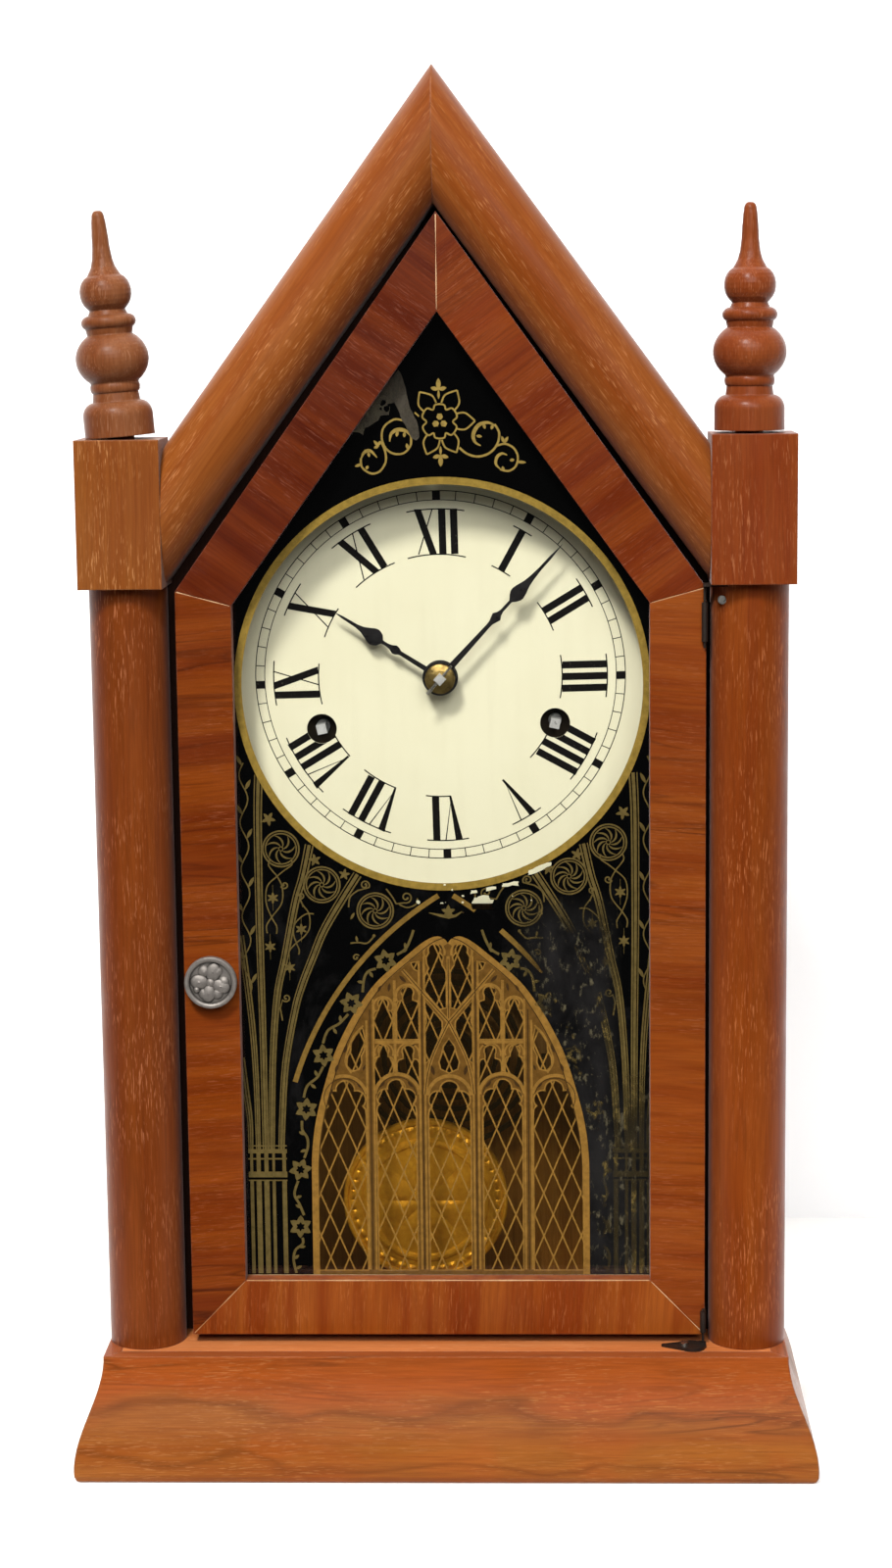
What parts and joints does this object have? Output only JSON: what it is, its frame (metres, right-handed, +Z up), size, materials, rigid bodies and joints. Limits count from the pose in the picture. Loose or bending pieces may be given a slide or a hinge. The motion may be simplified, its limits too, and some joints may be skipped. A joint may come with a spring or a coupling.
{
  "type": "mantel_clock",
  "caption": "Pointed-gable mantel clock with two columns and finials, a painted glass door, a spring-driven time and strike movement and a pendulum",
  "frame": {"origin": "under the middle of the base, on the surface that it stands on", "axes": "+Z up, +X to the right seen from the front, +Y to the back; the dial faces -Y"},
  "size_m": [0.272, 0.108, 0.508],
  "materials": {
    "walnut": "shellac over walnut-coloured wood",
    "veneer": "cross-grain veneer, shellac",
    "pine": "bare softwood",
    "dial_paint": "cream paint",
    "tablet_glass": "painted on the back",
    "pewter": "cast relief",
    "iron": "dark",
    "steel": "bright",
    "black_steel": "black",
    "brass": "lacquered",
    "blue_steel": "blued"
  },
  "bodies": {
    "case": {"base_moulding_front": "walnut", "base_moulding_left": "walnut", "base_moulding_right": "walnut", "base_board": "walnut", "case_side_left": "walnut", "case_side_right": "walnut", "roof_board_left": "walnut", "roof_board_right": "walnut", "back_board": "pine", "front_frame_left": "walnut", "front_frame_right": "walnut", "gable_moulding_left": "walnut", "gable_moulding_right": "walnut", "column_left": "walnut", "column_right": "walnut", "column_block_left": "walnut", "column_block_right": "walnut", "finial_left": "walnut", "finial_right": "walnut", "case_battens": "pine", "dial_plate": "dial_paint", "hinge_upper_strip": "iron", "hinge_lower_plate": "iron", "hinge_nails": "steel", "front_plate": "brass", "back_plate": "brass", "movement_screws": "steel", "mainsprings": "steel", "gong_base": "iron", "gong_coil": "blue_steel"},
    "door": {"door_stile_left": "veneer", "door_stile_right": "veneer", "door_rail_bottom": "veneer", "door_rake_left": "veneer", "door_rake_right": "veneer", "door_glass": "tablet_glass", "glazing_strips": "pine", "hinge_knuckles": "iron"},
    "knob": {"door_knob": "pewter"},
    "minute_group": {"minute_hand": "black_steel", "hand_washer": "brass", "cannon_pinion": "brass"},
    "motion_group": {"minute_wheel": "brass"},
    "hour_group": {"hour_hand": "black_steel", "hour_wheel": "brass"},
    "time_great": {"time_great_wheel": "brass"},
    "time_winder": {"time_winding_arbor": "steel"},
    "time_second": {"time_second_wheel": "brass"},
    "centre_group": {"centre_wheel": "brass", "taper_pin": "steel"},
    "third_group": {"third_wheel": "brass"},
    "escape_group": {"escape_wheel": "brass"},
    "verge_group": {"verge_and_crutch": "steel"},
    "pendulum": {"pendulum_rod": "brass", "pendulum_bob": "brass"},
    "strike_great": {"strike_great_wheel": "brass"},
    "strike_winder": {"strike_winding_arbor": "steel"},
    "strike_second": {"strike_second_wheel": "brass"},
    "strike_fly_group": {"strike_fly": "brass"},
    "hammer_group": {"strike_hammer": "steel"}
  },
  "joints": [
    {"name": "door_hinge", "type": "hinge", "parent": "case", "child": "door", "pos_m": [0.095, -0.0308, 0], "axis": [0, 0, 1], "range_deg": [0, 95]},
    {"name": "knob_turn", "type": "hinge", "parent": "door", "child": "knob", "pos_m": [-0.0838, 0, 0.1833], "axis": [0, 1, 0], "range_deg": [-90, 90]},
    {"name": "minute_hand_turn", "type": "hinge", "parent": "case", "child": "minute_group", "pos_m": [0, 0, 0.291], "axis": [0, 1, 0], "continuous": true},
    {"name": "minute_wheel_turn", "type": "hinge", "parent": "case", "child": "motion_group", "pos_m": [0.00719, 0, 0.29642], "axis": [0, 1, 0], "continuous": true},
    {"name": "hour_hand_turn", "type": "hinge", "parent": "case", "child": "hour_group", "pos_m": [0, 0, 0.291], "axis": [0, 1, 0], "continuous": true},
    {"name": "third_wheel_turn", "type": "hinge", "parent": "case", "child": "third_group", "pos_m": [0.00067, 0, 0.30859], "axis": [0, 1, 0], "continuous": true},
    {"name": "centre_wheel_turn", "type": "hinge", "parent": "case", "child": "centre_group", "pos_m": [0, 0, 0.291], "axis": [0, 1, 0], "continuous": true},
    {"name": "time_second_turn", "type": "hinge", "parent": "case", "child": "time_second", "pos_m": [0.01686, 0, 0.28613], "axis": [0, 1, 0], "continuous": true},
    {"name": "time_great_turn", "type": "hinge", "parent": "case", "child": "time_great", "pos_m": [0.0418, 0, 0.2734], "axis": [0, 1, 0], "continuous": true},
    {"name": "escape_wheel_turn", "type": "hinge", "parent": "case", "child": "escape_group", "pos_m": [-0.0025, 0, 0.3259], "axis": [0, 1, 0], "continuous": true},
    {"name": "time_winding", "type": "hinge", "parent": "time_great", "child": "time_winder", "pos_m": [0.0418, 0, 0.2734], "axis": [0, 1, 0], "continuous": true},
    {"name": "pendulum_swing", "type": "hinge", "parent": "case", "child": "pendulum", "pos_m": [-0.008, 0, 0.347], "axis": [0, 1, 0], "range_deg": [-3, 3]},
    {"name": "verge_rock", "type": "hinge", "parent": "case", "child": "verge_group", "pos_m": [-0.008, 0, 0.347], "axis": [0, 1, 0], "range_deg": [-3, 3]},
    {"name": "strike_second_turn", "type": "hinge", "parent": "case", "child": "strike_second", "pos_m": [-0.03, 0, 0.29605], "axis": [0, 1, 0], "continuous": true},
    {"name": "strike_great_turn", "type": "hinge", "parent": "case", "child": "strike_great", "pos_m": [-0.044, 0, 0.2718], "axis": [0, 1, 0], "continuous": true},
    {"name": "fly_turn", "type": "hinge", "parent": "case", "child": "strike_fly_group", "pos_m": [-0.03157, 0, 0.31398], "axis": [0, 1, 0], "continuous": true},
    {"name": "strike_winding", "type": "hinge", "parent": "strike_great", "child": "strike_winder", "pos_m": [-0.044, 0, 0.2718], "axis": [0, 1, 0], "continuous": true},
    {"name": "hammer_rock", "type": "hinge", "parent": "case", "child": "hammer_group", "pos_m": [-0.062, 0, 0.3], "axis": [0, 1, 0], "range_deg": [0, 6], "stiffness_Nm_per_rad": 0.02, "springref_deg": -17.19}
  ],
  "couplings": [
    {"joint": "minute_wheel_turn", "follows": "minute_hand_turn", "ratio": -0.33333},
    {"joint": "hour_hand_turn", "follows": "minute_hand_turn", "ratio": 0.083333},
    {"joint": "centre_wheel_turn", "follows": "third_wheel_turn", "ratio": -0.1},
    {"joint": "time_second_turn", "follows": "third_wheel_turn", "ratio": 0.05},
    {"joint": "time_great_turn", "follows": "third_wheel_turn", "ratio": -0.0083333},
    {"joint": "escape_wheel_turn", "follows": "third_wheel_turn", "ratio": -10},
    {"joint": "verge_rock", "follows": "pendulum_swing", "ratio": 1},
    {"joint": "strike_great_turn", "follows": "strike_second_turn", "ratio": -0.16667},
    {"joint": "fly_turn", "follows": "strike_second_turn", "ratio": -8}
  ]
}
